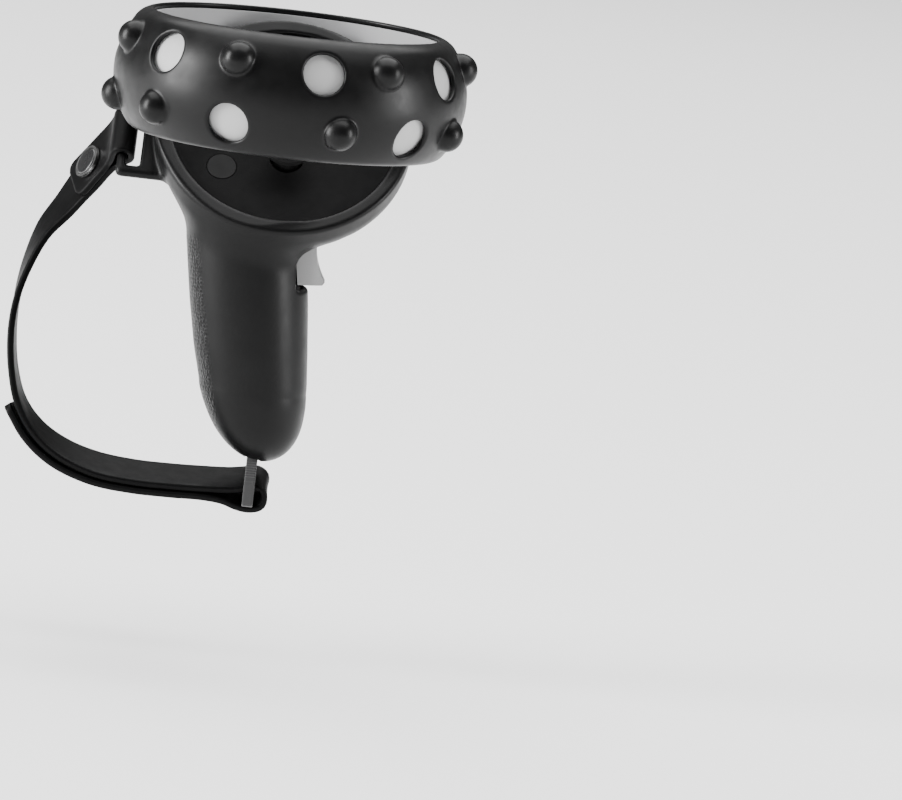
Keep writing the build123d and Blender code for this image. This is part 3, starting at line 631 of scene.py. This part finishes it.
led_dark = moulded("led_dark", (0.03, 0.012, 0.03), 0.15)
snap_black = moulded("snap_black", (0.010, 0.010, 0.0104), 0.28, depth=0.006)
cell_jacket = moulded("cell_jacket", (0.02, 0.02, 0.022), 0.3)
steel = metal("steel", (0.56, 0.56, 0.57), 0.3)
snap_steel = metal("snap_steel", (0.80, 0.80, 0.80), 0.16)
nickel = metal("contact_nickel", (0.66, 0.63, 0.56), 0.25)
band_black = webbing("lanyard_webbing", (0.026, 0.026, 0.027))

BY_SLOT = {
    "light_grey_shell": shell_white, "white_inner_shell": wall_white, "black_silicone_grip": grip_rubber,
    "black_silicone_ring": ring_rubber, "strap_elastomer": strap_rubber, "lanyard_webbing": band_black,
    "face_black": plate_black, "button_black": button_black, "stick_rubber": stick_rubber,
    "inner_black": inner_black, "trigger_grey": trigger_grey, "trigger_black": trigger_black,
    "circuit_green": board_green, "flex_amber": flex_amber, "led_dark": led_dark, "steel": steel,
    "snap_steel": snap_steel, "snap_black": snap_black, "cell_jacket": cell_jacket,
    "contact_nickel": nickel, "motor_can": steel}


def dress_frame():
    """Gives each CAD node the material of its slot."""
    slots = {row["node"]: row["material_slot"] for row in frame["record"]["subparts"]}
    for node, obj in frame["nodes"].items():
        for slot in obj.material_slots:
            slot.material = BY_SLOT[slots[node]]
        if not obj.material_slots:
            obj.data.materials.append(BY_SLOT[slots[node]])


# ---------------------------------------------------------------- pieces
def make_ring_cover():
    step = 0.55
    verts, faces = field_mesh(ring_cover_field, (-56.5, -56.5, -18.5), (56.5, 56.5, 19.5), step)
    piece = new_piece("ring_sleeve", place(verts), faces, ring_rubber)
    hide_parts("ring_cover")


def make_grip_cover():
    step = 0.6
    verts, faces = field_mesh(grip_cover_field, (-51.5, -16.5, -112.5), (39.0, 50.5, 16.5), step)
    piece = new_piece("grip_sleeve", place(verts), faces, grip_rubber)
    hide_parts("grip_cover")


def make_strap():
    bar = []
    for x, h in STRAP_ROUND_BAR:
        y, z = (FACE_CENTRE + STRAP_MIDDLE_T * FACE_UP + h * FACE_OUT)[1:]
        bar.append((x, y, z, 0.0, FACE_UP[2] / FACE_UP[1]))
    rows = smooth_line(STRAP_TAB + tuple(bar) + STRAP_REST, 420)
    across = np.array([(ax, 1.0, az) for ax, az in rows[:, 3:]])
    reach = np.concatenate([[0], np.cumsum(np.linalg.norm(np.diff(rows[:, :3], axis=0), axis=1))])
    verts, faces = sweep_flat(rows[:, :3], across, flat_section(STRAP_WIDTH, STRAP_THICKNESS, 0.75),
                              widths=np.minimum(end_share(reach), end_share(reach[-1] - reach)))
    piece = new_piece("hand_strap", place(verts), faces, strap_rubber)
    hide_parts("knuckle_strap")


def make_lanyard_band():
    """The band's closed loop, its width along x."""
    middle = sum(BAND_X) / 2
    low, reach = BAND_LOW + 0.5, 8.9
    corners = [(-reach, low - reach * BAND_SLOPE), (-reach, -117.0), (-4.0, -111.7), (-4.0, -107.5),
               (4.0, -107.5), (4.0, -111.7), (reach, -113.5), (reach, low + reach * BAND_SLOPE)]
    round_off = 0.9
    path = []
    for before, corner, after in zip(corners[-1:] + corners[:-1], corners, corners[1:] + corners[:1]):
        before, corner, after = (np.array(p) for p in (before, corner, after))
        start = corner + (before - corner) / np.linalg.norm(before - corner) * round_off
        end = corner + (after - corner) / np.linalg.norm(after - corner) * round_off
        for t in np.linspace(0, 1, 6):
            path.append(start * (1 - t) ** 2 + 2 * corner * t * (1 - t) + end * t * t)
    points = np.array([(middle, BAND_MIDDLE_Y + y, z) for y, z in path])
    across = np.tile((1.0, 0.0, 0.0), (len(points), 1))
    section = flat_section(BAND_X[1] - BAND_X[0], 1.0, 0.35)
    verts, faces = sweep_flat(points, across, section, closed=True)
    piece = new_piece("lanyard_loop", place(verts), faces, band_black)
    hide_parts("lanyard_band")


def make_floor():
    """A plain pale floor a little below the strap."""
    reach, drop = 8.0, 0.045
    corners = ((-reach, -reach), (reach, -reach), (reach, reach), (-reach, reach))
    mesh = bpy.data.meshes.new("floor")
    mesh.from_pydata([(x, y, CAD_BOX[0][2] - drop) for x, y in corners], [], [(0, 1, 2, 3)])
    floor = bpy.data.objects.new("floor", mesh)
    bpy.context.scene.collection.objects.link(floor)
    mesh.materials.append(material("floor_white", (0.95, 0.95, 0.95), 0.9)[0])


# ---------------------------------------------------------------- camera and light
CAMERA_DISTANCE = 1.5
CAMERA_TILT = 5.8
CAMERA_ROLL = 6.84
LENS = 207.7
# The middle of the view, from the ring's centre
VIEW_CENTRE = Vector((56.26, -12.05, -84.28)) * MM


def make_camera():
    tilt = math.radians(CAMERA_TILT)
    camera = bpy.data.objects.new("camera", bpy.data.cameras.new("camera"))
    bpy.context.scene.collection.objects.link(camera)
    camera.location = RING_CENTRE + Vector((0, -math.cos(tilt), math.sin(tilt))) * CAMERA_DISTANCE
    forward = RING_CENTRE + VIEW_CENTRE - camera.location
    roll = Matrix.Rotation(math.radians(CAMERA_ROLL), 3, "Z").to_quaternion()
    camera.rotation_mode = "QUATERNION"
    camera.rotation_quaternion = forward.to_track_quat("-Z", "Y") @ roll
    camera.data.lens = LENS
    camera.data.clip_end = 30
    bpy.context.scene.camera = camera


def make_light(name, place_at, aim, size, power):
    """A soft rectangular light, size wide by high in metres, aimed at a point."""
    lamp = bpy.data.lights.new(name, "AREA")
    lamp.shape = "RECTANGLE"
    lamp.size, lamp.size_y = size
    lamp.energy = power
    obj = bpy.data.objects.new(name, lamp)
    bpy.context.scene.collection.objects.link(obj)
    obj.location = place_at
    obj.rotation_euler = (Vector(aim) - Vector(place_at)).to_track_quat("-Z", "Y").to_euler()


def make_lights():
    world = bpy.data.worlds.new("studio")
    world.use_nodes = True
    world.node_tree.nodes["Background"].inputs["Color"].default_value = (1, 1, 1, 1)
    world.node_tree.nodes["Background"].inputs["Strength"].default_value = 0.18
    bpy.context.scene.world = world
    make_light("overhead", (0, 0.9, 3.0), (0, 0.9, 0), (4.5, 4.5), 330)
    make_light("key", (-1.45, -0.35, 0.2), (0, 0, 0), (0.5, 1.3), 80)
    make_light("fill", (1.45, -0.35, 0.1), (0, 0, 0), (0.4, 1.1), 30)


dress_frame()
make_ring_cover()
make_grip_cover()
make_strap()
make_lanyard_band()
make_floor()
make_camera()
make_lights()
